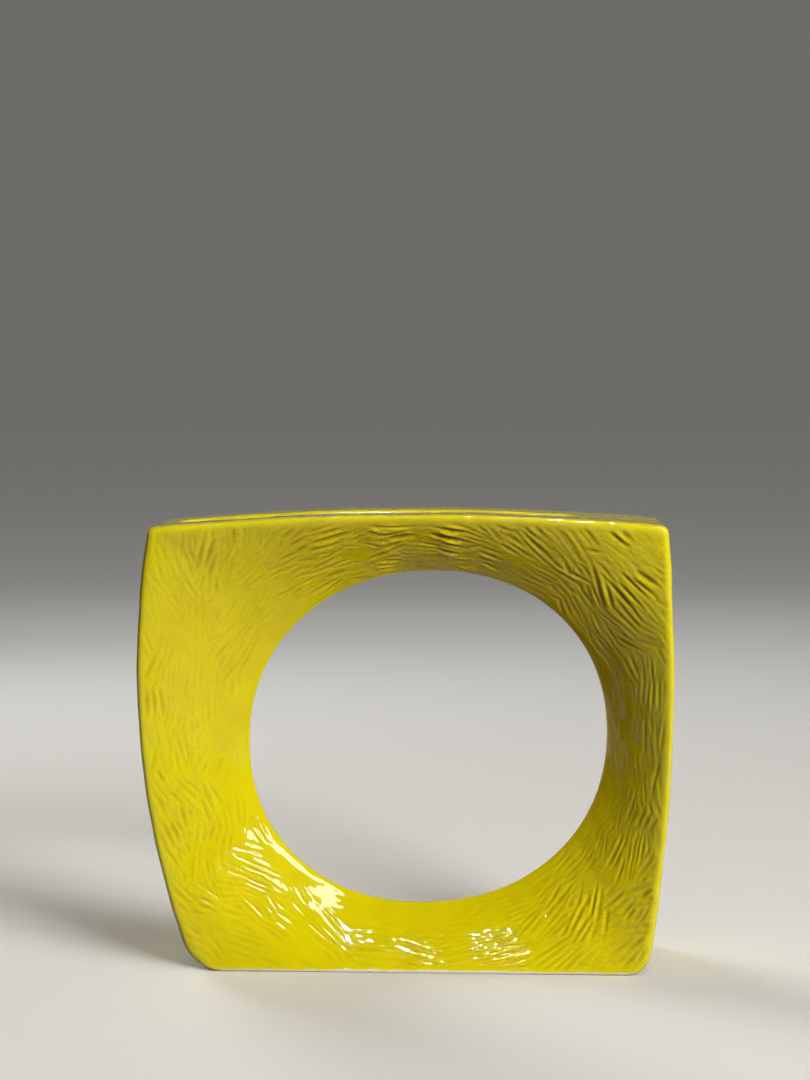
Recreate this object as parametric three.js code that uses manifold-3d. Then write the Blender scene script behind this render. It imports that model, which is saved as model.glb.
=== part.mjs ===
// Ikebana vase of glazed stoneware: a hollow frame that stands on edge round a large oval opening.
// Two dished faces, front and back, meet edge to edge inside the opening. A band of four slabs, the rim,
// the base and the two sides, joins their outer edges, and the mouth for the stems is cut in the rim.
// Millimetres. +X runs along the width to the right, +Y to the back, +Z up.
// The origin lies on the table, under the middle of the vase.

import * as THREE from 'three';
import { ParametricGeometry } from 'three/addons/geometries/ParametricGeometry.js';
import { mergeVertices } from 'three/addons/utils/BufferGeometryUtils.js';
import Module from 'manifold-3d';

// Outline, seen from the front, by its four corners before they are rounded
const BASE_WIDTH = 223;
const BASE_OFFSET = 6.1; // middle of the base, to the right of the middle of the shoulders
const SHOULDER_WIDTH = 251.3;
const SHOULDER_HEIGHT = 217.3; // left shoulder above the table
const SHOULDER_TILT = 1.5; // right shoulder above the left one
const TOP_RISE = 5.8; // arch of the top edge above its chord
const LEFT_BELLY = 14.5; // bulge of the left side beyond its chord
const RIGHT_BELLY = 7;
const LEFT_FOOT_ROUND = 11;
const RIGHT_FOOT_ROUND = 8;
const LEFT_SHOULDER_ROUND = 2.4;
const RIGHT_SHOULDER_ROUND = 3;

// Opening: a soft oval, placed by the width of the frame left on each side of it
const LEFT_BAND = 51.6;
const RIGHT_BAND = 31.1;
const TOP_BAND = 29.9;
const FOOT_BAND = 27.5;
const OVAL_POWER = 2.13; // 2 is a plain oval, more is squarer
const OVAL_LEAN = 2.8; // how far the right end of the oval sits above its middle

// Clay
const DEPTH = 70; // front to back between the edges, before they are rounded
const DISH_CURVE = 0.6; // 0 is a straight funnel, more is flatter outside and steeper at the throat
const CORNER_SPREAD = 0.3; // radians over which the dish evens out the corners of the outline
const CORNER_FADE = 4; // how soon the corners fade on the way in
const EDGE_ROUND = 5; // length of the rounding on both sides of the outer edge
const FOOT_EDGE_ROUND = 1.5; // the same where the vase stands on the table
const FACE_THICKNESS = 7; // measured along the depth
const RETURN_DEPTH = 13; // how far the rim of a face turns back
const SLAB_THICKNESS = 6;
const SEAM = 0.3; // joint of slip between two pieces
const RIM_SKIRT = 10; // turned-down ends of the rim, below the left shoulder

// Mouth: a slot with round ends, wide above the left leg and narrow to the right
const MOUTH_LEFT_MARGIN = 12; // from the left shoulder to the mouth's end
const MOUTH_RIGHT_MARGIN = 44;
const MOUTH_WIDE_WIDTH = 23;
const MOUTH_NARROW_WIDTH = 10;

// Facets
const SIDE_STEPS = 14;
const CORNER_STEPS = 4;
const DISH_STEPS = 7;
const INNER_STEPS = 6;
const ARC_STEPS = 12;
const HALVINGS = 40;
const LEAST_SQUARENESS = 0.5; // of a column to the outline, at the corners
const SAME_POINT = 1e-4; // two corners of facets nearer than this are one

const GLAZE = { color: 0xd9c406, roughness: 0.16, metalness: 0 };
const BARE_CLAY = { color: 0xd9d3c0, roughness: 0.85, metalness: 0 };

const faceDepth = DEPTH / 2 - SEAM / 2;
const bandHalf = DEPTH / 2 - RETURN_DEPTH - SEAM;

const wasm = await Module();
wasm.setup();

// Curve from a to b that bulges to its right hand by belly
function sideCurve(a, b, belly) {
  const along = b.clone().sub(a).normalize();
  const outward = new THREE.Vector2(along.y, -along.x);
  const middle = a.clone().lerp(b, 0.5);
  return new THREE.QuadraticBezierCurve(a, middle.addScaledVector(outward, 2 * belly), b);
}

// Four sides of an outline, counter-clockwise from the base, which is straight, with the bulge of each
function sidesOf(corners) {
  const bellies = [0, RIGHT_BELLY, TOP_RISE, LEFT_BELLY];
  return corners.map((corner, i) => sideCurve(corner, corners[(i + 1) % 4], bellies[i]));
}

// Stretch of a quadratic curve between two of its parameters
function stretch(curve, from, to) {
  const { v0, v1, v2 } = curve;
  const control = v0.clone().multiplyScalar((1 - from) * (1 - to));
  control.addScaledVector(v1, (1 - from) * to + from * (1 - to));
  control.addScaledVector(v2, from * to);
  return new THREE.QuadraticBezierCurve(curve.getPoint(from), control, curve.getPoint(to));
}

// Points of an outline whose corners are rounded by the given radii, one radius at the end of each side
function roundedOutline(sides, radii) {
  const cuts = radii.map((radius) => radius * Math.SQRT2);
  const points = [];
  const ends = sides.map((curve, i) => {
    const before = cuts[(i + 3) % 4];
    const from = curve.getUtoTmapping(0, before);
    const to = curve.getUtoTmapping(0, curve.getLength() - cuts[i]);
    return stretch(curve, from, to);
  });
  ends.forEach((curve, i) => {
    const corner = new THREE.QuadraticBezierCurve(curve.v2, sides[i].v2, ends[(i + 1) % 4].v0);
    points.push(...curve.getPoints(SIDE_STEPS).slice(0, -1));
    points.push(...corner.getPoints(CORNER_STEPS).slice(0, -1));
  });
  return points;
}

// Corner moved inwards so that both of its sides move in by the same distance
function innerCorner(sides, i, distance) {
  const before = sides[(i + 3) % 4].getTangent(1);
  const after = sides[i].getTangent(0);
  const inwardBefore = new THREE.Vector2(-before.y, before.x);
  const inwardAfter = new THREE.Vector2(-after.y, after.x);
  const reach = distance / (1 + inwardBefore.dot(inwardAfter));
  return sides[i].v0.clone().addScaledVector(inwardBefore.add(inwardAfter), reach);
}

const corners = [
  new THREE.Vector2(BASE_OFFSET - BASE_WIDTH / 2, 0),
  new THREE.Vector2(BASE_OFFSET + BASE_WIDTH / 2, 0),
  new THREE.Vector2(SHOULDER_WIDTH / 2, SHOULDER_HEIGHT + SHOULDER_TILT),
  new THREE.Vector2(-SHOULDER_WIDTH / 2, SHOULDER_HEIGHT),
];
const sides = sidesOf(corners);
const radii = [RIGHT_FOOT_ROUND, RIGHT_SHOULDER_ROUND, LEFT_SHOULDER_ROUND, LEFT_FOOT_ROUND];
const outline = roundedOutline(sides, radii);
const extent = new THREE.Box2().setFromPoints(outline);

// Opening: its centre and half sizes follow from the frame left round it
const ovalLeft = extent.min.x + LEFT_BAND;
const ovalRight = extent.max.x - RIGHT_BAND;
const ovalFoot = extent.min.y + FOOT_BAND;
const ovalTop = extent.max.y - TOP_BAND;
const ovalCentre = new THREE.Vector2((ovalLeft + ovalRight) / 2, (ovalFoot + ovalTop) / 2);
const ovalHalf = new THREE.Vector2((ovalRight - ovalLeft) / 2, (ovalTop - ovalFoot) / 2);

// Distance from the middle of the oval to its edge, in a direction
function ovalRadius(direction) {
  const across = direction.x / ovalHalf.x;
  const up = (direction.y - OVAL_LEAN * across) / ovalHalf.y;
  return (Math.abs(across) ** OVAL_POWER + Math.abs(up) ** OVAL_POWER) ** (-1 / OVAL_POWER);
}

// Radial columns of a face: where each starts on the outline, its direction and its reach to the throat
const columns = outline.map((point, i) => {
  const before = outline[(i + outline.length - 1) % outline.length].clone();
  const after = outline[(i + 1) % outline.length].clone();
  const along = after.clone().sub(before).normalize();
  const direction = point.clone().sub(ovalCentre).normalize();
  const squareness = Math.max(LEAST_SQUARENESS, direction.x * along.y - direction.y * along.x);
  return {
    direction,
    radius: point.distanceTo(ovalCentre),
    throat: ovalRadius(direction),
    edge: Math.min(EDGE_ROUND, FOOT_EDGE_ROUND + point.y),
    seat: (SLAB_THICKNESS + SEAM) / squareness,
    turn: before.sub(ovalCentre).cross(after.sub(ovalCentre)) / point.distanceToSquared(ovalCentre),
  };
});

// Radius of the outline with its corners evened out: a mean over the neighbouring directions
columns.forEach((column) => {
  const weights = columns.map(({ direction, turn }) => {
    const apart = Math.acos(Math.min(1, direction.dot(column.direction))) / CORNER_SPREAD;
    return turn * Math.exp(-apart * apart);
  });
  const total = weights.reduce((sum, weight) => sum + weight, 0);
  column.evenRadius = columns.reduce((sum, { radius }, i) => sum + radius * weights[i], 0) / total;
});

// Way in from the outline to a ring of the dish, for a share of the way to the throat:
// the rings start as the outline and lose its corners as they near the oval
function wayIn(column, share) {
  const corner = (column.radius - column.evenRadius) * (1 - share) ** CORNER_FADE;
  return column.radius - (1 - share) * (column.evenRadius + corner) - share * column.throat;
}

// Share of the way to the throat at a distance in from the outline, by halving
function shareAt(column, distance) {
  let low = 0;
  let high = 1;
  for (let i = 0; i < HALVINGS; i += 1) {
    const middle = (low + high) / 2;
    if (wayIn(column, middle) < distance) {
      low = middle;
    } else {
      high = middle;
    }
  }
  return low;
}

// Depth of the dish below the front edges
function dishDepth(share) {
  return faceDepth * ((1 - DISH_CURVE) * share + DISH_CURVE * share * share);
}

// Closed section of a face along one column, as way in from the outline and depth below the front edge:
// the return, the rounded edge, the dish, the joint at the throat, the hollow side and the seat of the slabs
function faceSection(column) {
  const points = [[0, RETURN_DEPTH]];
  const edgeShare = shareAt(column, column.edge);
  const edge = new THREE.QuadraticBezierCurve(
    new THREE.Vector2(0, column.edge),
    new THREE.Vector2(0, 0),
    new THREE.Vector2(column.edge, dishDepth(edgeShare)),
  );
  points.push(...edge.getPoints(CORNER_STEPS).map((p) => [p.x, p.y]));
  for (let i = 1; i <= DISH_STEPS; i += 1) {
    const share = edgeShare + ((1 - edgeShare) * i) / DISH_STEPS;
    points.push([wayIn(column, share), dishDepth(share)]);
  }
  const seatShare = shareAt(column, column.seat + SEAM);
  for (let i = INNER_STEPS - 1; i >= 0; i -= 1) {
    const share = seatShare + ((1 - seatShare) * i) / INNER_STEPS;
    const depth = Math.max(RETURN_DEPTH, dishDepth(share) + FACE_THICKNESS);
    points.push([wayIn(column, share), Math.min(depth, faceDepth)]);
  }
  points.push([column.seat, RETURN_DEPTH]);
  return points;
}

// Face: its section carried round the outline, facing -1 for the front and 1 for the back
function faceGeometry(facing) {
  const sections = columns.map(faceSection);
  const rows = sections[0].length;
  const place = (u, v, target) => {
    const turn = facing < 0 ? u : 1 - u;
    const i = Math.round(turn * columns.length) % columns.length;
    const [inward, depth] = sections[i][Math.round(v * rows) % rows];
    const { radius, direction } = columns[i];
    const point = ovalCentre.clone().addScaledVector(direction, radius - inward);
    target.set(point.x, facing * (DEPTH / 2 - depth), point.y);
  };
  return new ParametricGeometry(place, columns.length, rows);
}

// Solid of a closed geometry, for cuts
function solidOf(geometry) {
  const bare = geometry.clone();
  bare.deleteAttribute('normal');
  bare.deleteAttribute('uv');
  const merged = mergeVertices(bare, SAME_POINT);
  const vertProperties = new Float32Array(merged.getAttribute('position').array);
  const triVerts = new Uint32Array(merged.getIndex().array);
  return new wasm.Manifold(new wasm.Mesh({ numProp: 3, vertProperties, triVerts }));
}

function geometryOf(solid) {
  const mesh = solid.getMesh();
  const geometry = new THREE.BufferGeometry();
  geometry.setAttribute('position', new THREE.BufferAttribute(mesh.vertProperties, 3));
  geometry.setIndex(new THREE.BufferAttribute(mesh.triVerts, 1));
  geometry.computeVertexNormals();
  return geometry;
}

// Box between two corners
function boxSolid(low, high) {
  const size = new THREE.Vector3().subVectors(high, low);
  const middle = new THREE.Vector3().addVectors(high, low).multiplyScalar(0.5);
  return solidOf(new THREE.BoxGeometry(size.x, size.y, size.z).translate(middle.x, middle.y, middle.z));
}

// Band between the faces: the outline less the same outline moved in by the slab's thickness
function bandSolid() {
  const innerCorners = corners.map((corner, i) => innerCorner(sides, i, SLAB_THICKNESS));
  const shape = new THREE.Shape(outline);
  const innerPoints = sidesOf(innerCorners).flatMap((curve) => curve.getPoints(SIDE_STEPS).slice(0, -1));
  shape.holes.push(new THREE.Path(innerPoints));
  const band = new THREE.ExtrudeGeometry(shape, { depth: 2 * bandHalf, bevelEnabled: false });
  band.rotateX(Math.PI / 2).translate(0, bandHalf, 0);
  return solidOf(band);
}

// Slot of the mouth: two round ends and the straight edges that touch them
function mouthSolid() {
  const wide = MOUTH_WIDE_WIDTH / 2;
  const narrow = MOUTH_NARROW_WIDTH / 2;
  const left = corners[3].x + MOUTH_LEFT_MARGIN + wide;
  const right = corners[2].x - MOUTH_RIGHT_MARGIN - narrow;
  const touch = Math.acos((wide - narrow) / (right - left));
  const shape = new THREE.Shape();
  shape.absarc(left, 0, wide, touch, 2 * Math.PI - touch, false);
  shape.absarc(right, 0, narrow, -touch, touch, false);
  const cut = { depth: extent.max.y, bevelEnabled: false, curveSegments: ARC_STEPS };
  const slot = new THREE.ExtrudeGeometry(shape, cut);
  return solidOf(slot.translate(0, 0, extent.max.y / 2));
}

const band = bandSolid();
const baseTop = SLAB_THICKNESS - SEAM / 2;
const sideFoot = SLAB_THICKNESS + SEAM / 2;
const sideTop = SHOULDER_HEIGHT - RIM_SKIRT - SEAM / 2;
const rimFoot = SHOULDER_HEIGHT - RIM_SKIRT + SEAM / 2;

// Part of the band between two heights, from one end to the other
function bandPart(fromX, toX, fromZ, toZ) {
  const low = new THREE.Vector3(fromX, -DEPTH, fromZ);
  const high = new THREE.Vector3(toX, DEPTH, toZ);
  return band.intersect(boxSolid(low, high));
}

const farLeft = extent.min.x - DEPTH;
const farRight = extent.max.x + DEPTH;
const below = extent.min.y - DEPTH;
const above = extent.max.y + DEPTH;

const vase = new THREE.Group();
vase.name = 'ikebana_vase';
vase.position.x = -extent.getCenter(new THREE.Vector2()).x;

function addPiece(name, geometry, finish) {
  const mesh = new THREE.Mesh(geometry, new THREE.MeshStandardMaterial(finish));
  mesh.name = name;
  vase.add(mesh);
}

addPiece('front_face', faceGeometry(-1), GLAZE);
addPiece('back_face', faceGeometry(1), GLAZE);
addPiece('left_side', geometryOf(bandPart(farLeft, ovalCentre.x, sideFoot, sideTop)), GLAZE);
addPiece('right_side', geometryOf(bandPart(ovalCentre.x, farRight, sideFoot, sideTop)), GLAZE);
addPiece('rim', geometryOf(bandPart(farLeft, farRight, rimFoot, above).subtract(mouthSolid())), GLAZE);
addPiece('base', geometryOf(bandPart(farLeft, farRight, below, baseTop)), BARE_CLAY);

export default vase;
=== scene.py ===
import math
from functools import partial

import bpy
import numpy as np
from bpy.props import FloatProperty, FloatVectorProperty, IntProperty, PointerProperty
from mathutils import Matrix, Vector


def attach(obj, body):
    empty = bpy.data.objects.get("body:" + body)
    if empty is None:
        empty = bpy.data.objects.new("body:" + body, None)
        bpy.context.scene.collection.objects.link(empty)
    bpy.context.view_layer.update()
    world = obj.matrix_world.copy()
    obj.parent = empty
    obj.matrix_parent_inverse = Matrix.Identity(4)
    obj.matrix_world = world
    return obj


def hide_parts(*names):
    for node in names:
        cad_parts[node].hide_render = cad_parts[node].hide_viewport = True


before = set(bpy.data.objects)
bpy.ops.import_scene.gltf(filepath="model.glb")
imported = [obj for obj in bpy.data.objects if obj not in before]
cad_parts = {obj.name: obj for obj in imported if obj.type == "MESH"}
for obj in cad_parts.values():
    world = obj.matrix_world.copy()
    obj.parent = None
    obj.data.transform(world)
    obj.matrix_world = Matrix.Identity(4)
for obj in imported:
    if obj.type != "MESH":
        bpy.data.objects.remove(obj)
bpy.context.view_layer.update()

bl_info = {
    "name": "Ikebana vase",
    "version": (1, 0, 0),
    "blender": (4, 5, 0),
    "location": "3D View > Sidebar > Vase",
    "description": "A frame-shaped ikebana vase of combed stoneware under a yellow glaze",
    "category": "Object",
}

BODY = "root"

# Steps of the surfaces
COLUMNS = 820
RETURN_ROWS = 4
EDGE_ROWS = 8
DISH_ROWS = 101
HOLLOW_ROWS = 4
SLAB_ROWS = 13
SLAB_STEPS = 180
LIP_ROWS = 8
TOP_ROWS = 40
UNDER_ROWS = 12
LIP_STEPS = 64
SIDE_SAMPLES = 600
CORNER_SAMPLES = 90
HALVINGS = 40

# Where the comb was pressed hard or soft: bearing from the middle of the opening and spread, in degrees,
# and how much
PRESSED = (
    (0, 28, -0.26),
    (55, 40, 0.38),
    (98, 30, 1.0),
    (180, 45, -0.08),
    (-38, 30, 0.4),
    (-90, 34, -0.12),
    (-120, 18, -0.24),
    (-148, 30, 0.15),
)

# Dabs of the comb over the foot: their size and depth as shares of the other marks
DAB_SCALE = 0.55
DAB_SHARE = 1.0

# A row this far from a sharp corner keeps the shading crisp there
CRISP = 0.00012

# The clay's grain is finer than this, and is drawn coarse enough to show
GRAIN_SIZE = 0.0006


def linear(hex_colour):
    """Linear red, green and blue of an sRGB hex colour, by the sRGB curve."""
    channels = [int(hex_colour[i : i + 2], 16) / 255 for i in (0, 2, 4)]
    return tuple(c / 12.92 if c <= 0.04045 else ((c + 0.055) / 1.055) ** 2.4 for c in channels)


def number(name, description, default, **kind):
    """A property that holds a number, plain or of a kind."""
    return FloatProperty(name=name, description=description, default=default, **kind)


length = partial(number, precision=4, subtype="DISTANCE", unit="LENGTH")
angle_size = partial(number, subtype="ANGLE", unit="ROTATION")
lamp_power = partial(number, subtype="POWER", unit="POWER")


def colour(name, description, hex_colour):
    """A property that holds a colour."""
    shade = linear(hex_colour)
    return FloatVectorProperty(
        name=name, description=description, default=shade, min=0.0, max=1.0, size=3, subtype="COLOR"
    )


class VaseSizes(bpy.types.PropertyGroup):
    """Sizes of the vase's clay."""

    base_width: length("Base width", "Width of the base before its corners are rounded", 0.223)
    base_offset: length("Base offset", "Middle of the base, right of the middle of the shoulders", 0.0061)
    shoulder_width: length("Shoulder width", "Distance between the two shoulders", 0.2513)
    shoulder_height: length("Shoulder height", "Left shoulder above the table", 0.2173)
    shoulder_tilt: length("Shoulder tilt", "Right shoulder above the left one", 0.0015)
    top_rise: length("Top rise", "Arch of the top edge above its chord", 0.0058)
    left_belly: length("Left belly", "Bulge of the left side beyond its chord", 0.0145)
    right_belly: length("Right belly", "Bulge of the right side beyond its chord", 0.007)
    left_foot_round: length("Left foot rounding", "Radius of the lower left corner", 0.011)
    right_foot_round: length("Right foot rounding", "Radius of the lower right corner", 0.008)
    left_shoulder_round: length("Left shoulder rounding", "Radius of the upper left corner", 0.0024)
    right_shoulder_round: length("Right shoulder rounding", "Radius of the upper right corner", 0.003)
    left_band: length("Left band", "Width of the frame left of the opening", 0.0516)
    right_band: length("Right band", "Width of the frame right of the opening", 0.0311)
    top_band: length("Top band", "Height of the frame over the opening", 0.0299)
    foot_band: length("Foot band", "Height of the frame under the opening", 0.0275)
    oval_power: number("Oval power", "2 is a plain oval opening, more is squarer", 2.13)
    oval_lean: length("Oval lean", "How far the right end of the opening sits above its middle", 0.0028)
    depth: length("Depth", "Front to back between the edges before they are rounded", 0.070)
    dish_curve: number("Dish curve", "0 is a straight funnel, more is steeper at the throat", 0.6)
    corner_spread: angle_size("Corner spread", "Angle over which the dish evens out the corners", 0.3)
    corner_fade: number("Corner fade", "How soon the corners fade on the way in", 4.0)
    edge_round: length("Edge rounding", "Length of the rounding on both sides of the outer edge", 0.005)
    foot_edge_round: length("Foot edge rounding", "The same where the vase stands on the table", 0.0015)
    throat_round: length("Throat rounding", "Softness of the edge where the two faces meet", 0.0016)
    face_thickness: length("Face thickness", "Clay of a face, along the depth", 0.007)
    return_depth: length("Return depth", "How far the rim of a face turns back", 0.013)
    slab_thickness: length("Slab thickness", "Clay of the sides, the rim and the base", 0.006)
    rim_skirt: length("Rim skirt", "Turned-down ends of the rim, below the left shoulder", 0.010)
    mouth_left_margin: length("Mouth left margin", "From the left shoulder to the mouth", 0.012)
    mouth_right_margin: length("Mouth right margin", "From the right shoulder to the mouth", 0.044)
    mouth_wide_width: length("Mouth wide width", "Width of the mouth at its left end", 0.023)
    mouth_narrow_width: length("Mouth narrow width", "Width of the mouth at its right end", 0.010)
    lip_round: length("Lip rounding", "Radius of the mouth's edges", 0.0026)


class VaseSurface(bpy.types.PropertyGroup):
    """Comb marks of the clay and colours of the glaze."""

    seed: IntProperty(name="Seed", description="Which set of grooves is drawn", default=7, min=0)
    bunch_count: IntProperty(
        name="Bunches", description="Bunches of grooves drawn for one face", default=1100, min=1
    )
    groove_length: length("Groove length", "Usual length of a groove", 0.0175)
    groove_spacing: length("Groove spacing", "Usual distance between the grooves of a bunch", 0.0027)
    groove_width: length("Groove width", "Width of a groove at the usual distance", 0.0016)
    groove_depth: length("Groove depth", "Depth of a strong groove", 0.0013)
    levelling: length("Levelling", "How far the molten glaze smooths the marks", 0.0003)
    wobble: length("Wobble", "Unevenness of the hand-pressed clay", 0.00035)
    glaze: colour("Glaze", "Lemon-yellow glaze of full thickness", "E2D206")
    # Pooled glaze: darker ochre in the grooves, partly glaze that has run together there and partly painted
    # shade of the grooves
    pooled_glaze_and_shade: colour("Pooled glaze", "Glaze that has run together in the grooves", "A98703")
    thin_glaze: colour("Thin glaze", "Glaze that has drawn back from an edge", "EADD30")
    clay: colour("Clay", "Bare stoneware at the foot", "D8D2BE")
    glaze_line: length("Glaze line", "Height at which the glaze ends above the table", 0.0013)


class VaseStage(bpy.types.PropertyGroup):
    """Floor, lamps and camera."""

    floor: colour("Floor", "Pale paper under the vase", "EEEDE9")
    horizon: colour("Horizon", "Even shade of the paper some way from the vase", "C9C8C4")
    backdrop: colour("Backdrop", "Even shade of the paper where it rises", "6C6B68")
    bounce: colour("Bounce", "The same paper as far as it throws light back on the vase", "4C3D2A")
    ambient: number("Ambient", "Strength of the soft light all round", 0.09)
    ambient_tint: colour("Ambient tint", "Colour of the soft light all round", "FFD090")
    key_power: lamp_power("Key", "Soft lamp at the front right", 67.0)
    window_power: lamp_power("Window", "Long soft lamp above right", 12.0)
    glint_power: lamp_power("Glints", "Each of the two small lamps above that show in the glaze alone", 20.0)
    gleam_power: lamp_power("Gleam", "Long bright lamp above right that shows in the glaze alone", 60.0)
    fill_power: lamp_power("Fill", "Soft lamp behind on the left", 44.0)
    camera_distance: length("Camera distance", "Camera from the vase's upright axis", 1.117)
    camera_aside: length("Camera aside", "Camera right of where its distance and yaw put it", -0.001)
    camera_height: length("Camera height", "Camera above the table", 0.2861)
    camera_yaw: angle_size("Camera yaw", "Camera to the right of the front", math.radians(2.5))
    camera_pitch: angle_size("Camera pitch", "Camera looking down", math.radians(3.93))
    lens: number("Lens", "Focal length on a 36 mm high sensor, in millimetres", 75.17)


def smooth_step(value):
    """0 below 0, 1 above 1, and 3v squared less 2v cubed between."""
    v = np.clip(value, 0.0, 1.0)
    return v * v * (3.0 - 2.0 * v)


def bell(value):
    """1 at 0, and e to the minus v squared on both sides."""
    return np.exp(-(value**2))


def unit(vectors):
    """Vectors over their lengths."""
    shortest = 1e-12
    return vectors / np.maximum(np.linalg.norm(vectors, axis=-1, keepdims=True), shortest)


def step_past(points, axis=0):
    """From the point before each point of a closed line to the point after it."""
    return np.roll(points, -1, axis=axis) - np.roll(points, 1, axis=axis)


def bezier(control, t):
    """Quadratic curve: (1-t) squared a, plus 2t(1-t) b, plus t squared c."""
    t = np.asarray(t)[:, None]
    return (1 - t) ** 2 * control[0] + 2 * t * (1 - t) * control[1] + t**2 * control[2]


def way_along(points):
    """Distance walked along a line of points, from the first of them to each."""
    return np.concatenate([[0], np.cumsum(np.linalg.norm(np.diff(points, axis=0), axis=1))])


def walk(points, count):
    """A line of points walked in even steps, without its last point."""
    way = way_along(points)
    at = np.linspace(0, way[-1], count, endpoint=False)
    return np.stack([np.interp(at, way, points[:, k]) for k in (0, 1)], axis=1)


def vase_outline(sizes):
    """Closed outline seen from the front, counter-clockwise from the base's left end, in close steps.

    Each of the four sides is a quadratic curve whose middle control point stands off the chord by twice the
    bulge. A second quadratic curve rounds each corner: it leaves one side and joins the next at the radius
    times the root of 2 from the corner. The middle of the outline's width is put on x = 0, and the shift that
    this takes is returned too.
    """
    s = sizes
    base, shoulder, tall = s.base_width / 2, s.shoulder_width / 2, s.shoulder_height
    corners = np.array(
        [
            (s.base_offset - base, 0.0),
            (s.base_offset + base, 0.0),
            (shoulder, tall + s.shoulder_tilt),
            (-shoulder, tall),
        ]
    )
    bulges = (0.0, s.right_belly, s.top_rise, s.left_belly)
    rounds = (s.right_foot_round, s.right_shoulder_round, s.left_shoulder_round, s.left_foot_round)
    cuts = [radius * math.sqrt(2) for radius in rounds]
    sides, spans = [], []
    for i, bulge in enumerate(bulges):
        a, c = corners[i], corners[(i + 1) % 4]
        along = unit(c - a)
        side = (a, (a + c) / 2 + 2 * bulge * np.array([along[1], -along[0]]), c)
        t = np.linspace(0, 1, SIDE_SAMPLES)
        way = way_along(bezier(side, t))
        sides.append(side)
        spans.append((np.interp(cuts[i - 1], way, t), np.interp(way[-1] - cuts[i], way, t)))
    points = []
    for i, side in enumerate(sides):
        ahead = (i + 1) % 4
        points.append(bezier(side, np.linspace(*spans[i], SIDE_SAMPLES, endpoint=False)))
        ends = bezier(side, spans[i][1:])[0], corners[ahead], bezier(sides[ahead], spans[ahead][:1])[0]
        points.append(bezier(ends, np.linspace(0, 1, CORNER_SAMPLES, endpoint=False)))
    outline = np.concatenate(points)
    shift = -(outline[:, 0].min() + outline[:, 0].max()) / 2
    return outline + (shift, 0.0), shift


def outward(points):
    """Unit normals of a closed counter-clockwise line: the way ahead turned a quarter clockwise."""
    ahead = step_past(points)
    return unit(np.stack([ahead[:, 1], -ahead[:, 0]], axis=1))


class Dish:
    """The dish of a face in polar form about the middle of the opening.

    Each column runs from a point of the outline straight to the middle. Its ring at a share s of the way to
    the throat has the radius (1-s)(E + (R-E)(1-s)^f) + sT, with R the outline, T the soft oval of the
    opening, E the outline averaged over neighbouring directions, and f the corner fade.
    """

    def __init__(self, sizes):
        outline, _ = vase_outline(sizes)
        low = outline.min(axis=0) + (sizes.left_band, sizes.foot_band)
        high = outline.max(axis=0) - (sizes.right_band, sizes.top_band)
        self.sizes = sizes
        self.middle, self.half = (low + high) / 2, (high - low) / 2
        self.points = walk(np.concatenate([outline, outline[:1]]), COLUMNS)
        self.normals = outward(self.points)
        reach = self.points - self.middle
        self.radius = np.linalg.norm(reach, axis=1)
        self.direction = reach / self.radius[:, None]
        across = self.direction[:, 0] / self.half[0]
        up = (self.direction[:, 1] - sizes.oval_lean * across) / self.half[1]
        power = sizes.oval_power
        self.throat = (np.abs(across) ** power + np.abs(up) ** power) ** (-1 / power)
        angle = np.unwrap(np.arctan2(reach[:, 1], reach[:, 0]))
        step = np.gradient(angle)
        apart = (angle[:, None] - angle + math.pi) % (2 * math.pi) - math.pi
        weight = step * bell(apart / sizes.corner_spread)
        self.even = weight @ self.radius / weight.sum(axis=1)

    def ring(self, share):
        """Radius of the ring at a share of the way to the throat, for all columns."""
        corner = (self.radius - self.even)[:, None] * (1 - share) ** self.sizes.corner_fade
        return (1 - share) * (self.even[:, None] + corner) + share * self.throat[:, None]

    def share_at(self, inward):
        """Share of the way to the throat at a distance in from the outline, by halving."""
        low, high = np.zeros((COLUMNS, 1)), np.ones((COLUMNS, 1))
        for _ in range(HALVINGS):
            middle = (low + high) / 2
            short = self.radius[:, None] - self.ring(middle) < inward[:, None]
            low, high = np.where(short, middle, low), np.where(short, high, middle)
        return low

    def drop(self, share):
        """Depth below the front edge: half the depth times (1-c)s + c s squared, c the dish curve."""
        curve = self.sizes.dish_curve
        return self.sizes.depth / 2 * ((1 - curve) * share + curve * share**2)


def hand_wobble(points, amount):
    """Unevenness of hand-pressed clay at points in space: three crossed sine waves 45 to 75 mm long.

    Two lower ones, 10 to 13 mm long, are the ripple of the dipped glaze. All fade out over the lowest 20 mm,
    so that the foot stays flat.
    """
    third, ripple, flat_foot = 0.6, 0.35, 0.020
    x, y, z = np.moveaxis(points, -1, 0)
    wave = np.sin(x / 0.0118 + 1.3 * np.sin(z / 0.0190)) + np.sin(z / 0.0093 + y / 0.0150 + 0.8)
    wave += np.sin((x + z) / 0.0071 - y / 0.0110 + 2.1) * third
    wave += np.sin((y + 0.4 * z) / 0.0017 + 1.7 * np.sin((x - z) / 0.0090)) * ripple
    wave += np.sin((x + 0.7 * z) / 0.0021 + 1.9 * np.sin(y / 0.0060 + x / 0.0230)) * ripple
    return amount / (2 + third) * wave * smooth_step(z / flat_foot)


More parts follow.
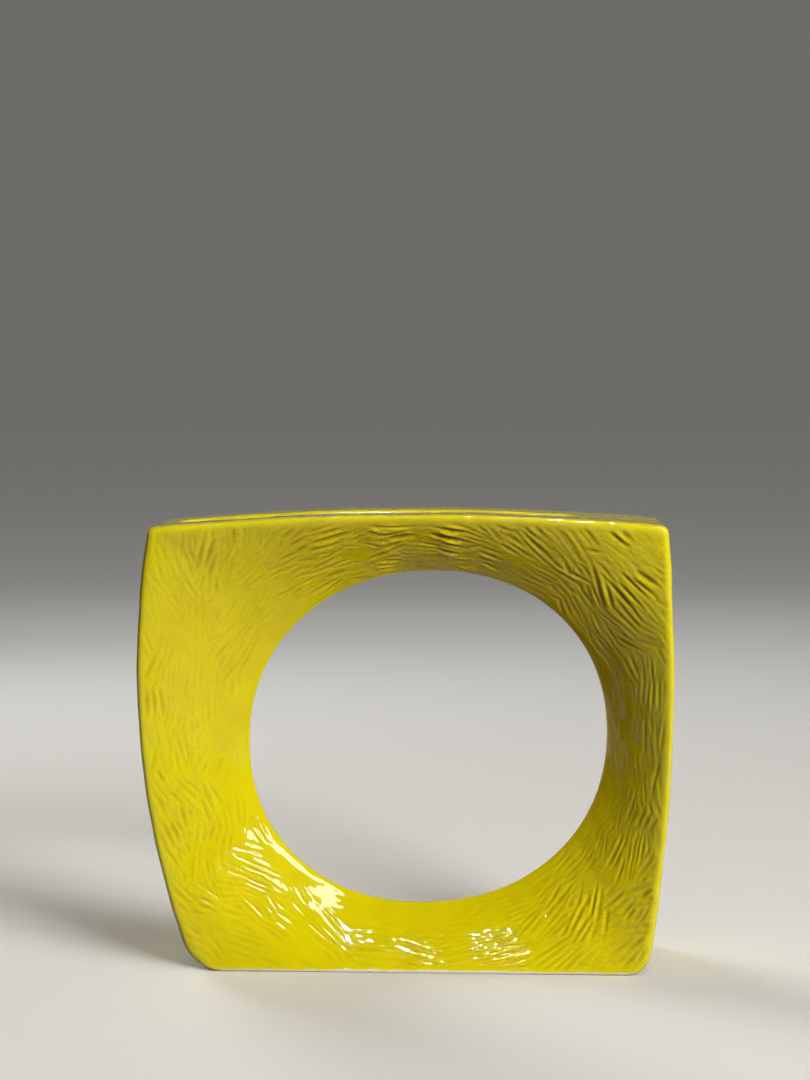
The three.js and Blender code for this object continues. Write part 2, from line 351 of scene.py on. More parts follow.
def groove_field(dish, places):
    """How the grooves lie at given places: the way round, their slant off it, strength, fineness and reach.

    Reach is the distance from the middle in radii of the opening. Grooves run round the opening and sway off
    that way by a sine wave of the place. At the upper left corner they turn upright, and along the top the
    outer ones run down to the right. They are fine beside the throat, and almost smooth there at the lower
    left.
    """
    usual_strength, most_sway = 0.4, 0.34
    fine_end, fine_band = 1.02, 0.26
    reach = (places - dish.middle) / dish.half
    near = np.linalg.norm(reach, axis=1)
    bearing = np.arctan2(reach[:, 1], reach[:, 0])
    round_way = np.arctan2(reach[:, 1] / dish.half[1], reach[:, 0] / dish.half[0]) + math.pi / 2
    fine = smooth_step((near - fine_end) / fine_band)

    def toward(middle, spread):
        apart = (bearing - math.radians(middle) + math.pi) % (2 * math.pi) - math.pi
        return bell(apart / math.radians(spread))

    along_top = toward(98, 38)
    upper_left = toward(140, 20) * smooth_step((near - 1.2) / 0.3)
    lower_left = toward(-142, 28) * (1 - smooth_step((near - 1.1) / 0.2))
    sway = most_sway * np.sin(places[:, 0] / 0.0135 + 2.0 * np.sin(places[:, 1] / 0.0170))
    sway *= 0.3 + 0.7 * fine
    slant = sway * (1 - 0.6 * along_top) - 0.2 * along_top * fine
    slant += 0.9 * upper_left
    strength = np.full(len(places), usual_strength)
    for middle, spread, amount in PRESSED:
        strength += amount * toward(middle, spread)
    strength *= 0.5 + 0.5 * np.maximum(fine, 0.9 * along_top)
    strength *= 1 - 0.85 * lower_left
    return round_way, slant, strength, fine, near


def comb_marks(dish, surface, seed, scale=1.0):
    """Height map of the clay over one face, combed with a stiff brush, and its low corner and cell size.

    Bunches of grooves lie over each other like feathers. The first fifth are long and soft. Each bunch has
    three to seven grooves, fanned and bent a little, and each groove has its own length, width and depth.
    With t the way along over its half length, a groove tapers to both ends by a power of 1 - t squared, and
    is deeper at one end. Across, it is cut by (1 - c squared) squared of its depth, with c the way across
    over its half width, and the clay that it pushes up stands beside it as two ridges of a bell shape, one
    higher than the other. A bunch wipes out nine tenths of what lies under it. The glaze then levels the map
    by a Gaussian blur. Scale sizes all the grooves up or down.
    """
    cell, margin = 0.0004, 0.006
    fewest, most = 3, 7
    soft_length, soft_depth, wiped = 1.7, 0.2, 0.9
    ridge_place, ridge_width = 1.45, 0.55
    aside_spread, ahead_spread, turn_spread, reach_spread, width_spread = 0.12, 0.25, 0.04, 0.22, 0.2
    inside_throat = 0.98
    usual_share = surface.groove_width / surface.groove_spacing
    low, high = dish.points.min(axis=0) - margin, dish.points.max(axis=0) + margin
    wide, tall = np.ceil((high - low) / cell).astype(int)
    height = np.zeros((tall, wide))
    rng = np.random.default_rng(seed)
    count = surface.bunch_count
    places = rng.uniform(low, high, (count, 2))
    soft = np.arange(count) < count // 5
    round_way, slant, strength, fine, near = groove_field(dish, places)
    slant += round_way + rng.normal(0, 0.2, count) * (0.3 + 0.7 * fine) * np.where(soft, 0.4, 1.0)
    teeth = np.where(soft, fewest, rng.integers(fewest, most + 1, count))
    half = scale * surface.groove_length / 2 * rng.uniform(0.7, 1.45, count)
    half *= np.where(soft, soft_length, 0.5 + 0.5 * fine)
    gap = scale * surface.groove_spacing * rng.uniform(0.7, 1.35, count) * (0.62 + 0.38 * fine)
    fan = rng.normal(0, 0.06, count)
    bend = rng.normal(0, 6.0, count)
    deep = surface.groove_depth * gap / surface.groove_spacing * rng.uniform(0.4, 1.05, count)
    deep *= np.where(soft, soft_depth, strength)
    own = rng.normal(0, 1, (5, count, most))
    ridge = rng.uniform(0.1, 0.6, (2, count, most))
    for k in np.flatnonzero(near > inside_throat):
        n = teeth[k]
        step = np.arange(n) - (n - 1) / 2
        aside = gap[k] * (step + aside_spread * own[0, k, :n])
        ahead = half[k] * ahead_spread * own[1, k, :n]
        turn = slant[k] + fan[k] * step + turn_spread * own[2, k, :n]
        reach = (half[k] * np.clip(1 + reach_spread * own[3, k, :n], 0.5, 1.5))[:, None, None]
        share = usual_share * np.clip(1 + width_spread * own[4, k, :n], 0.6, 1.5)
        width = (gap[k] / 2 * share)[:, None, None]
        spread = reach.max() + np.abs(ahead).max() + gap[k] * n / 2
        corner = np.floor((places[k] - low - spread) / cell).astype(int)
        ends = np.ceil((places[k] - low + spread) / cell).astype(int)
        (left, foot), (right, top) = np.maximum(corner, 0), np.minimum(ends, (wide, tall))
        x = places[k, 0] + ahead * math.cos(slant[k]) - aside * math.sin(slant[k])
        z = places[k, 1] + ahead * math.sin(slant[k]) + aside * math.cos(slant[k])
        dx = low[0] + np.arange(left, right) * cell - x[:, None, None]
        dz = (low[1] + np.arange(foot, top) * cell)[:, None] - z[:, None, None]
        cosine, sine = np.cos(turn)[:, None, None], np.sin(turn)[:, None, None]
        along = dx * cosine + dz * sine
        across = dz * cosine - dx * sine - bend[k] * along**2 / 2
        t = along / reach
        taper = np.clip(1 - t * t, 0, 1)
        c = across / (width * (0.55 + 0.45 * taper))
        push = ridge[0, k, :n, None, None] * bell((c - ridge_place) / ridge_width)
        push += ridge[1, k, :n, None, None] * bell((c + ridge_place) / ridge_width)
        cut = taper**0.8 * (1 + 0.2 * t) * (push - np.clip(1 - c * c, 0, 1) ** 2)
        cover = (np.clip(2 * taper, 0, 1) * np.exp(-((across / (0.75 * gap[k])) ** 6))).max(axis=0)
        patch = height[foot:top, left:right]
        patch += deep[k] * cut.sum(axis=0) - wiped * cover * patch
    waves = np.fft.fftfreq(tall, cell)[:, None] ** 2 + np.fft.rfftfreq(wide, cell) ** 2
    level = np.exp(-2 * (math.pi * surface.levelling) ** 2 * waves)
    return np.fft.irfft2(np.fft.rfft2(height) * level, height.shape), low, cell


def read_map(marks, x, z):
    """Height map read at points between its cells, by linear steps both ways."""
    height, low, cell = marks
    u = np.clip((x - low[0]) / cell, 0, height.shape[1] - 1.001)
    v = np.clip((z - low[1]) / cell, 0, height.shape[0] - 1.001)
    i, j = u.astype(int), v.astype(int)
    a, b = u - i, v - j
    foot = height[j, i] * (1 - a) + height[j, i + 1] * a
    top = height[j + 1, i] * (1 - a) + height[j + 1, i + 1] * a
    return foot * (1 - b) + top * b


def unit_normals(grid, facing):
    """Normals of a grid closed both ways, by the cross product of its two ways, out of a face."""
    normals = unit(np.cross(step_past(grid), step_past(grid, axis=1)))
    front = normals[:, RETURN_ROWS + EDGE_ROWS + DISH_ROWS // 2, 1].mean() * facing
    return normals * np.sign(front)


def face_section(dish):
    """Section of each column of a face: way in from the outline, depth below the front edge, and edge length.

    It runs down the dish and back inside: the return, the rounded edge as a quadratic curve, the dish, the
    joint at the throat, the hollow side and the seat of the slabs. The throat is softened by adding
    k(sqrt(y^2+q^2) - |y| - q e^(-(y/w)^2)) to the radius, with y the way to the joint, k the slope there,
    q the rounding and w four times as much.
    """
    s = dish.sizes
    half = s.depth / 2
    edge = np.minimum(s.edge_round, s.foot_edge_round + dish.points[:, 1])
    edge_share = dish.share_at(edge)
    ones = np.ones((COLUMNS, 1))
    inward, depth = [], []
    back = np.linspace(0, 1, RETURN_ROWS)
    back[1] = CRISP / s.return_depth
    inward.append(0 * ones * back)
    depth.append(s.return_depth + (edge[:, None] - s.return_depth) * back)
    t = np.linspace(0, 1, EDGE_ROWS + 1)[1:]
    inward.append(edge[:, None] * t**2)
    depth.append(edge[:, None] * (1 - t) ** 2 + dish.drop(edge_share) * t**2)
    t = np.linspace(0, 1, DISH_ROWS + 1)[1:]
    share = edge_share + (1 - edge_share) * (t + 0.1 * t * (1 - t))
    drop = dish.drop(share)
    ring = dish.ring(share)
    lift = half - drop
    slope = ((dish.radius - dish.throat) / (half * (1 + s.dish_curve)))[:, None]
    q = s.throat_round
    ring += slope * (np.sqrt(lift**2 + q * q) - lift - q * bell(lift / (4 * q)))
    inward.append(dish.radius[:, None] - ring)
    depth.append(drop)
    squareness = np.maximum(0.5, (dish.direction * dish.normals).sum(axis=1))
    seat = s.slab_thickness / squareness
    seat_share = dish.share_at(seat)
    inward.append((dish.radius - dish.throat)[:, None] - CRISP)
    depth.append(half * ones)
    t = np.linspace(1, 0, HOLLOW_ROWS + 1)[1:]
    share = seat_share + (1 - seat_share) * t
    inside = np.clip(dish.drop(share) + s.face_thickness, s.return_depth, half)
    inward.append(dish.radius[:, None] - dish.ring(share))
    depth.append(inside)
    inward.append(np.stack([seat - CRISP, np.full(COLUMNS, CRISP)], axis=1))
    depth.append(s.return_depth * np.ones((1, 2)) * ones)
    return np.concatenate(inward, axis=1), np.concatenate(depth, axis=1), edge


def face_surface(dish, surface, facing, seed):
    """One face as a grid, its groove and edge shares, and the way and strength of its bristle lines.

    Facing is -1 for the front and 1 for the back. Comb marks and wobble move the outer surface along its
    normals. Over the middle of the foot short dabs of the comb take the place of most of the bristle lines.
    """
    throat_fade, foot_start, foot_fade = 0.006, 0.0005, 0.003
    dab_width, dab_top, dab_fade, dab_seed, dab_calm = 0.060, 0.038, 0.012, 50, 0.75
    thin_row, thin_rows, thin_throat = RETURN_ROWS + 0.45 * EDGE_ROWS, 2.2, 0.0009
    half = dish.sizes.depth / 2
    inward, depth, edge = face_section(dish)
    out = dish.radius[:, None] - inward
    x = dish.middle[0] + out * dish.direction[:, :1]
    z = dish.middle[1] + out * dish.direction[:, 1:]
    grid = np.stack([x, facing * (half - depth), z], axis=2)

    rows = np.arange(grid.shape[1])
    last = RETURN_ROWS + EDGE_ROWS + DISH_ROWS
    normals = unit_normals(grid, facing)
    flat = np.stack([dish.normals[:, 0], np.zeros(COLUMNS), dish.normals[:, 1]], axis=1)[:, None]
    wall = (rows < RETURN_ROWS) | (rows == rows[-1])
    normals = np.where(wall[None, :, None], flat, normals)
    outer = ((rows < last) | wall).astype(float)
    throat = smooth_step((half - depth) / throat_fade)
    # Along the top the combing starts further in, and more gently
    topness = smooth_step((dish.normals[:, 1] - 0.5) / 0.3)[:, None]
    start = edge[:, None] * (0.35 + 0.3 * topness)
    combed = smooth_step((inward - start) / (0.0035 + 0.0015 * topness)) * throat * outer
    combed *= smooth_step((z - foot_start) / foot_fade)
    foot = bell(x / dab_width) * smooth_step((dab_top - z) / dab_fade)
    marks = read_map(comb_marks(dish, surface, seed), x, z)
    marks += DAB_SHARE * foot * read_map(comb_marks(dish, surface, seed + dab_seed, DAB_SCALE), x, z)
    marks *= combed
    move = marks + hand_wobble(grid, surface.wobble) * throat * outer
    grid = grid + normals * move[:, :, None]
    # Share of the way down into a groove, which gets the darker ochre colour: partly glaze run into the
    # groove, partly painted shade of it
    groove = np.clip(0.05 - 0.95 * marks / surface.groove_depth, 0, 1) * combed
    arris = bell((rows - thin_row) / thin_rows)
    hole = bell((half - depth) / thin_throat) * outer
    strength = groove_field(dish, np.stack([x.ravel(), z.ravel()], axis=1))[2].reshape(x.shape)
    bristles = combed * strength * (1 - dab_calm * foot)
    return grid, groove, np.maximum(arris, hole), unit(step_past(grid)) * bristles[:, :, None]


def closed_mesh(name, grid, ring, **shares):
    """Object from a grid of points (columns, rows, 3) that is closed along its rows.

    The columns close into a ring, or end in one flat face at each end. Faces are turned outwards by the sign
    of the enclosed volume. Each share, a number or a vector, is kept as a point attribute for the material.
    """
    columns, rows = grid.shape[:2]
    index = np.arange(columns * rows).reshape(columns, rows)
    ahead = np.roll(index, -1, axis=0)
    quads = np.stack([index, ahead, np.roll(ahead, -1, axis=1), np.roll(index, -1, axis=1)], axis=2)
    points = grid.reshape(-1, 3)
    faces = (quads if ring else quads[:-1]).reshape(-1, 4)
    a, b, c, d = (points[faces[:, k]] for k in range(4))
    volume = (np.cross(a, b) * c).sum() + (np.cross(a, c) * d).sum()
    caps = [] if ring else [index[0], index[-1][::-1]]
    for cap in caps:
        fan = points[cap]
        volume += (np.cross(fan[:1], fan[1:-1]) * fan[2:]).sum()
    if volume < 0:
        faces, caps = faces[:, ::-1], [cap[::-1] for cap in caps]
    corners = np.concatenate([faces.ravel(), *caps])
    totals = np.concatenate([np.full(len(faces), 4), [len(cap) for cap in caps]]).astype(np.int32)
    mesh = bpy.data.meshes.new(name)
    mesh.vertices.add(len(points))
    mesh.vertices.foreach_set("co", points.astype(np.float32).ravel())
    mesh.loops.add(len(corners))
    mesh.loops.foreach_set("vertex_index", corners.astype(np.int32))
    mesh.polygons.add(len(totals))
    starts = np.concatenate([[0], np.cumsum(totals)[:-1]]).astype(np.int32)
    mesh.polygons.foreach_set("loop_start", starts)
    mesh.polygons.foreach_set("use_smooth", np.ones(len(totals), dtype=bool))
    mesh.update(calc_edges=True)
    if mesh.validate():
        raise RuntimeError(f"the mesh of {name} is not sound")
    for share, values in shares.items():
        vector = np.ndim(values) == 3
        layer = mesh.attributes.new(share, "FLOAT_VECTOR" if vector else "FLOAT", "POINT")
        full = np.broadcast_to(values, (columns, rows, 3) if vector else (columns, rows))
        layer.data.foreach_set("vector" if vector else "value", full.astype(np.float32).ravel())
    piece = bpy.data.objects.new(name, mesh)
    bpy.context.scene.collection.objects.link(piece)
    return piece


def finish_piece(piece, node, material):
    """Gives a piece its material, and puts it on the body in place of its solid."""
    piece.data.materials.append(material)
    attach(piece, BODY)
    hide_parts(node)


def crisp_ends(steps):
    """Steps with one more close to each end, so that the shading stays crisp there."""
    return np.concatenate([steps[:1], steps[:1] + CRISP, steps[1:-1], steps[-1:] - CRISP, steps[-1:]])


def slab_grid(sizes, outer, inner):
    """A slab as a grid of rectangles, each from front to back at the outer line and forward at the inner.

    The depths go in even steps between the returns of the two faces.
    """
    reach = sizes.depth / 2 - sizes.return_depth
    y = crisp_ends(np.linspace(-reach, reach, SLAB_ROWS))
    x, z = np.stack([outer, inner], axis=1).repeat(len(y), axis=1).transpose(2, 0, 1)
    return np.stack([x, np.broadcast_to(np.concatenate([y, y[::-1]]), x.shape), z], axis=2)


def add_node(tree, kind, inputs, output=0, **settings):
    """Adds a shader node, fills or links its inputs, and returns the output asked for, or all for None."""
    node = tree.nodes.new(f"ShaderNode{kind}")
    for name, value in settings.items():
        setattr(node, name, value)
    for socket, value in inputs.items():
        if isinstance(value, bpy.types.NodeSocket):
            tree.links.new(value, node.inputs[socket])
        else:
            node.inputs[socket].default_value = value
    return node.outputs if output is None else node.outputs[output]


def new_material(name):
    """An empty node material and its node tree."""
    material = bpy.data.materials.new(name)
    material.use_nodes = True
    material.node_tree.nodes.clear()
    return material, material.node_tree


def bristle_lines(tree, place):
    """Sockets for the height of fine bristle lines and for how strong they are.

    The face is split into patches with ragged edges. In each the combing way, kept on the face's points, is
    turned about the surface's normal by an angle of the patch's own, and noise is stretched along it.
    """
    patch_size, bristle_length, bristle_width = 0.011, 0.004, 0.0010
    most_turn, patch_jump = 0.55, 40.0
    stretch = (1 / bristle_length, 1 / bristle_width, patch_jump)
    comb = add_node(tree, "Attribute", {}, "Vector", attribute_name="comb")
    normal = add_node(tree, "NewGeometry", {}, "Normal")
    rag = add_node(tree, "TexNoise", {"Vector": place, "Scale": 2 / patch_size, "Detail": 3.0}, "Color")
    ragged = add_node(tree, "VectorMath", {0: rag, 1: (patch_size,) * 3, 2: place}, operation="MULTIPLY_ADD")
    patch = add_node(tree, "TexVoronoi", {"Vector": ragged, "Scale": 1 / patch_size}, None)
    chance = add_node(tree, "SeparateColor", {"Color": patch["Color"]}, None)
    turn = add_node(tree, "MapRange", {"Value": chance["Red"], "To Min": -most_turn, "To Max": most_turn})
    ahead = add_node(tree, "VectorMath", {0: comb}, operation="NORMALIZE")
    way = add_node(tree, "VectorRotate", {"Vector": ahead, "Axis": normal, "Angle": turn})
    aside = add_node(tree, "VectorMath", {0: normal, 1: way}, operation="CROSS_PRODUCT")
    offset = add_node(tree, "VectorMath", {0: place, 1: patch["Position"]}, operation="SUBTRACT")
    along, across = (
        add_node(tree, "VectorMath", {0: offset, 1: axis}, "Value", operation="DOT_PRODUCT")
        for axis in (way, aside)
    )
    spot = add_node(tree, "CombineXYZ", {"X": along, "Y": across, "Z": chance["Green"]})
    stretched = add_node(tree, "VectorMath", {0: spot, 1: stretch}, operation="MULTIPLY")
    strokes = add_node(tree, "TexNoise", {"Vector": stretched, "Scale": 1.0, "Detail": 0.0})
    return strokes, add_node(tree, "VectorMath", {0: comb}, "Value", operation="LENGTH")


def glazed_stoneware(surface):
    """Glossy yellow glaze, dipped over combed stoneware and fired.

    It gives the eye a wet, even gloss, darker ochre lines in the grooves and the low parts of the bristle
    lines, partly glaze that has run into them and partly painted shade of these hollows, paler lines where
    the glaze has drawn back from the edges, soft cloudy patches of thickness, and a ragged line of bare clay
    at the foot.
    Fine bristle lines lie between the grooves, in patches that each have a slant of their own.
    """
    name = "yellow_glazed_stoneware"
    if name in bpy.data.materials:
        return bpy.data.materials[name]
    cloud_size, ripple_size, rag_size = 0.016, 0.005, 0.004
    rag_height, line_blur = 0.0022, 0.00015
    material, tree = new_material(name)
    place = add_node(tree, "TexCoord", {}, "Object")
    shares = ("groove", "edge")
    groove, edge = (add_node(tree, "Attribute", {}, "Fac", attribute_name=share) for share in shares)
    cloud, ripple, rag, grain = (
        add_node(tree, "TexNoise", {"Vector": place, "Scale": 1 / size, "Detail": detail})
        for size, detail in ((cloud_size, 3.0), (ripple_size, 0.5), (rag_size, 3.0), (GRAIN_SIZE, 2.0))
    )
    strokes, combed = bristle_lines(tree, place)

    # Darker ochre in the grooves and in the low parts of the bristle lines: partly glaze that has run
    # together there, partly painted shade of these hollows. The cloudy patches of thicker glaze take it too.
    thick = add_node(tree, "MapRange", {"Value": cloud, "From Min": 0.35, "From Max": 0.7, "To Max": 0.14})
    low = add_node(tree, "MapRange", {"Value": strokes, "From Min": 0.52, "From Max": 0.3, "To Max": 0.3})
    settled_and_shaded = add_node(tree, "Math", {0: low, 1: combed, 2: thick}, operation="MULTIPLY_ADD")
    pool_and_shade = add_node(tree, "Math", {0: groove, 1: settled_and_shaded}, operation="ADD", use_clamp=True)
    thin = add_node(tree, "Math", {0: edge, 1: ripple}, operation="MULTIPLY", use_clamp=True)
    ragged = {0: rag, 1: rag_height, 2: surface.glaze_line - rag_height / 2}
    line = add_node(tree, "Math", ragged, operation="MULTIPLY_ADD")
    height = add_node(tree, "SeparateXYZ", {"Vector": place}, "Z")
    below = add_node(tree, "Math", {0: line, 1: height}, operation="SUBTRACT")
    bare = add_node(tree, "MapRange", {"Value": below, "From Min": -line_blur, "From Max": line_blur})
    skin = (*surface.glaze, 1)
    for share, shade in ((pool_and_shade, surface.pooled_glaze_and_shade), (thin, surface.thin_glaze), (bare, surface.clay)):
        skin = add_node(tree, "Mix", {0: share, 6: skin, 7: (*shade, 1)}, 2, data_type="RGBA")

    gloss = add_node(tree, "MapRange", {"Value": bare, "To Min": 0.05, "To Max": 0.85})
    grit = add_node(tree, "Math", {0: grain, 1: bare}, operation="MULTIPLY")
    lines = add_node(tree, "Math", {0: strokes, 1: combed}, operation="MULTIPLY")
    relief = {}
    for rise, strength, distance in ((grit, 0.5, 0.0002), (lines, 1.0, 0.00014), (ripple, 0.3, 0.0005)):
        bump = {"Height": rise, "Strength": strength, "Distance": distance, **relief}
        relief = {"Normal": add_node(tree, "Bump", bump)}
    look = {"Base Color": skin, "Roughness": gloss, "IOR": 1.5, "Specular IOR Level": 0.3, **relief}
    shader = add_node(tree, "BsdfPrincipled", look)
    add_node(tree, "OutputMaterial", {"Surface": shader}, None)
    return material


def bare_stoneware(surface):
    """Unglazed stoneware, wiped flat and fired.

    It gives the eye a matt, off-white clay with a fine sandy grain and faint toasting.
    """
    cloud_size = 0.022
    toasting = (0.88, 0.80, 0.68)
    material, tree = new_material("bare_stoneware")
    place = add_node(tree, "TexCoord", {}, "Object")
    cloud, grain = (
        add_node(tree, "TexNoise", {"Vector": place, "Scale": 1 / size, "Detail": detail})
        for size, detail in ((cloud_size, 4.0), (GRAIN_SIZE, 2.0))
    )
    toasted = tuple(channel * share for channel, share in zip(surface.clay, toasting))
    shades = {0: cloud, 6: (*surface.clay, 1), 7: (*toasted, 1)}
    body = add_node(tree, "Mix", shades, 2, data_type="RGBA")
    rough = add_node(tree, "Bump", {"Height": grain, "Strength": 0.5, "Distance": 0.0002})
    look = {"Base Color": body, "Roughness": 0.85, "IOR": 1.5, "Normal": rough}
    shader = add_node(tree, "BsdfPrincipled", look)
    add_node(tree, "OutputMaterial", {"Surface": shader}, None)
    return material


class VASE_OT_faces(bpy.types.Operator):
    """Make the two dished and combed faces"""

    bl_idname = "vase.faces"
    bl_label = "Faces"
    bl_options = {"REGISTER", "UNDO"}

    def execute(self, context):
        surface = context.scene.vase_surface
        dish = Dish(context.scene.vase_sizes)
        glaze = glazed_stoneware(surface)
        for node, facing, seed in (("front_face", -1, surface.seed), ("back_face", 1, surface.seed + 1)):
            grid, groove, edge, comb = face_surface(dish, surface, facing, seed)
            piece = closed_mesh(f"{node}_clay", grid, True, groove=groove, edge=edge, comb=comb)
            finish_piece(piece, node, glaze)
        return {"FINISHED"}


class VASE_OT_sides(bpy.types.Operator):
    """Make the two side slabs between the faces"""

    bl_idname = "vase.sides"
    bl_label = "Sides"
    bl_options = {"REGISTER", "UNDO"}

    def execute(self, context):
        sizes, surface = context.scene.vase_sizes, context.scene.vase_surface
        glaze = glazed_stoneware(surface)
        for node, hand in (("left_side", -1), ("right_side", 1)):
            grid = side_surface(sizes, surface, hand)
            piece = closed_mesh(f"{node}_clay", grid, False, groove=0.0, edge=0.0)
            finish_piece(piece, node, glaze)
        return {"FINISHED"}


def side_surface(sizes, surface, hand):
    """One side slab as a grid of level sections, hand -1 for the left and 1 for the right.

    At each height the section is a rectangle: the outer wall from front to back on the outline, and the inner
    wall further in by the slab's thickness over the wall's upright share.
    """
    least_outward, least_upright, top_fade = 0.05, 0.6, 0.01
    outline, _ = vase_outline(sizes)
    normals = outward(outline)
    low, high = sizes.slab_thickness, sizes.shoulder_height - sizes.rim_skirt
    wall = (outline[:, 0] * hand > 0) & (normals[:, 0] * hand > least_outward)
    order = np.argsort(outline[wall, 1])
    x, z = outline[wall][order].T
    heights = crisp_ends(np.linspace(low, high, SLAB_STEPS))
    outer = np.interp(heights, z, x)
    upright = np.interp(heights, z, normals[wall][order][:, 0] * hand)
    tilt = np.interp(heights, z, normals[wall][order][:, 1])
    inner = outer - hand * sizes.slab_thickness / np.maximum(upright, least_upright)
    grid = slab_grid(sizes, np.stack([outer, heights], axis=1), np.stack([inner, heights], axis=1))
    outside = grid[:, : grid.shape[1] // 2]
    lift = hand_wobble(outside, surface.wobble)
    outside[:, :, 0] += lift * (hand * upright)[:, None]
    outside[:, :, 2] += lift * (tilt * smooth_step((high - heights) / top_fade))[:, None]
    return grid


class VASE_OT_rim(bpy.types.Operator):
    """Make the arched rim with the mouth in it"""

    bl_idname = "vase.rim"
    bl_label = "Rim"
    bl_options = {"REGISTER", "UNDO"}

    def execute(self, context):
        sizes, surface = context.scene.vase_sizes, context.scene.vase_surface
        grid, edge = rim_surface(sizes, surface)
        piece = closed_mesh("rim_clay", grid, True, groove=0.0, edge=edge)
        finish_piece(piece, "rim", glazed_stoneware(surface))
        return {"FINISHED"}


def round_walk(lines):
    """Six lines round the mouth walked in even steps, twice as many on a long side as on half an end."""
    counts = [share * LIP_STEPS for share in (2, 1, 1, 2, 1, 1)]
    return np.concatenate([walk(np.array(line), count) for line, count in zip(lines, counts)])


def rim_surface(sizes, surface):
    """The rim as a grid round its mouth, and the edge shares.

    The rim is laid out flat as a strip, with the way along the outline from the left skirt to the right one,
    and the depth. Columns join the mouth's edge to the strip's edge. The section runs in over the top, turns
    down at the lip by a quarter circle, down the mouth's wall, and back out under the rim. The strip is then
    bent back on to the outline, and points below the top go in along its normals.
    """
    bend_blur, beside, arc_points = 0.005, 0.002, 200
    s = sizes
    outline, shift = vase_outline(s)
    normals = outward(outline)
    skirt = s.shoulder_height - s.rim_skirt
    start = np.argmax((outline[:, 1] > skirt) & (outline[:, 0] > 0))
    outline, normals = np.roll(outline, -start, axis=0), np.roll(normals, -start, axis=0)
    above = outline[:, 1] >= skirt
    path, bend = outline[above][::-1], normals[above][::-1]
    path[0, 1] = path[-1, 1] = skirt
    way = way_along(path)
    soft = unit(bell((way[:, None] - way) / bend_blur) @ bend)

    reach = s.depth / 2 - s.return_depth
    wide, narrow = s.mouth_wide_width / 2, s.mouth_narrow_width / 2
    left = -s.shoulder_width / 2 + s.mouth_left_margin + wide + shift
    right = s.shoulder_width / 2 - s.mouth_right_margin - narrow + shift
    touch = math.acos((wide - narrow) / (right - left))
    top = (path[:, 0] > left - wide - beside) & (path[:, 0] < right + narrow + beside)
    top &= bend[:, 1] > 0.5

    def arc(middle, radius, first, last):
        turn = np.linspace(first, last, arc_points)
        return np.stack([middle + radius * np.cos(turn), radius * np.sin(turn)], axis=1)

    end_left = arc(left, wide, touch, 2 * math.pi - touch)
    end_right = arc(right, narrow, -touch, touch)
    upper = np.stack([end_right[-1], end_left[0]])
    lower = np.stack([end_left[-1], end_right[0]])
    split = arc_points // 2
    halves_left = end_left[: split + 1], end_left[split:]
    halves_right = end_right[: split + 1], end_right[split:]
    mouth = round_walk((upper, *halves_left, lower, *halves_right))
    along = np.interp(mouth[:, 0], path[top][:, 0], way[top])
    mouth = np.stack([along, mouth[:, 1]], axis=1)
    first, last = mouth[0, 0], mouth[2 * LIP_STEPS, 0]
    full = way[-1]
    strip = round_walk(
        (
            ((first, reach), (last, reach)),
            ((last, reach), (0, reach), (0, 0)),
            ((0, 0), (0, -reach), (last, -reach)),
            ((last, -reach), (first, -reach)),
            ((first, -reach), (full, -reach), (full, 0)),
            ((full, 0), (full, reach), (first, reach)),
        )
    )
    r, thick = s.lip_round, s.slab_thickness
    turn = np.linspace(0, math.pi / 2, LIP_ROWS)
    lip_out, lip_down = r * (1 - np.sin(turn)), r * (1 - np.cos(turn))
    over, under = np.linspace(0.98, 0.02, TOP_ROWS), np.linspace(0.05, 0.97, UNDER_ROWS)
    share = np.concatenate([[1, 1], over, 0 * turn, 0 * turn, under, [1, 1]])
    off = np.concatenate(
        [[0, -CRISP], np.full(TOP_ROWS, r), lip_out, lip_out[::-1], np.full(UNDER_ROWS, r), [-CRISP, 0]]
    )
    down = np.concatenate(
        [np.zeros(TOP_ROWS + 2), lip_down, thick - lip_down[::-1], np.full(UNDER_ROWS + 2, thick)]
    )
    gap = strip - mouth
    span = np.linalg.norm(gap, axis=1, keepdims=True)
    inner = share < 1
    distance = np.where(inner, off + share * (span - r), span + off)
    flat = mouth[:, None] + gap[:, None] / span[:, None] * distance[:, :, None]
    x, z, out_x, out_z = (np.interp(flat[:, :, 0], way, line) for line in (*path.T, *soft.T))
    grid = np.stack([x, flat[:, :, 1], z], axis=2)
    lift = hand_wobble(grid, surface.wobble) * np.where(down < thick / 2, 1.0, 0.0)
    skin = lift - down
    grid[:, :, 0] += out_x * skin
    grid[:, :, 2] += out_z * skin
    edge = bell((down - 0.3 * r) / (0.5 * r)) * ((down > 0) & (down < r))
    return grid, edge


class VASE_OT_base(bpy.types.Operator):
    """Make the flat base slab"""

    bl_idname = "vase.base"
    bl_label = "Base"
    bl_options = {"REGISTER", "UNDO"}

    def execute(self, context):
        sizes, surface = context.scene.vase_sizes, context.scene.vase_surface
        piece = closed_mesh("base_clay", base_surface(sizes), False, groove=0.0, edge=0.0)
        finish_piece(piece, "base", bare_stoneware(surface))
        piece.data.materials.append(glazed_stoneware(surface))
        flat_down = -0.98
        normals = np.empty(len(piece.data.polygons) * 3)
        piece.data.polygons.foreach_get("normal", normals)
        walls = (normals.reshape(-1, 3)[:, 2] > flat_down).astype(np.int32)
        piece.data.polygons.foreach_set("material_index", walls)
        return {"FINISHED"}


def base_surface(sizes):
    """The base slab as a grid of upright sections along the foot of the outline.

    At each point of the outline below the slab's top the section is a rectangle from front to back, from the
    outline up to the top.
    """
    outline, _ = vase_outline(sizes)
    middle = np.argmax(outline[:, 0] > 0)
    outline = np.roll(outline, len(outline) // 2 - middle, axis=0)
    foot = outline[outline[:, 1] < sizes.slab_thickness - CRISP]
    way = way_along(foot)
    at = np.linspace(0, way[-1], SLAB_STEPS)
    under = np.stack([np.interp(at, way, foot[:, k]) for k in (0, 1)], axis=1)
    return slab_grid(sizes, under, under * (1, 0) + (0, sizes.slab_thickness))


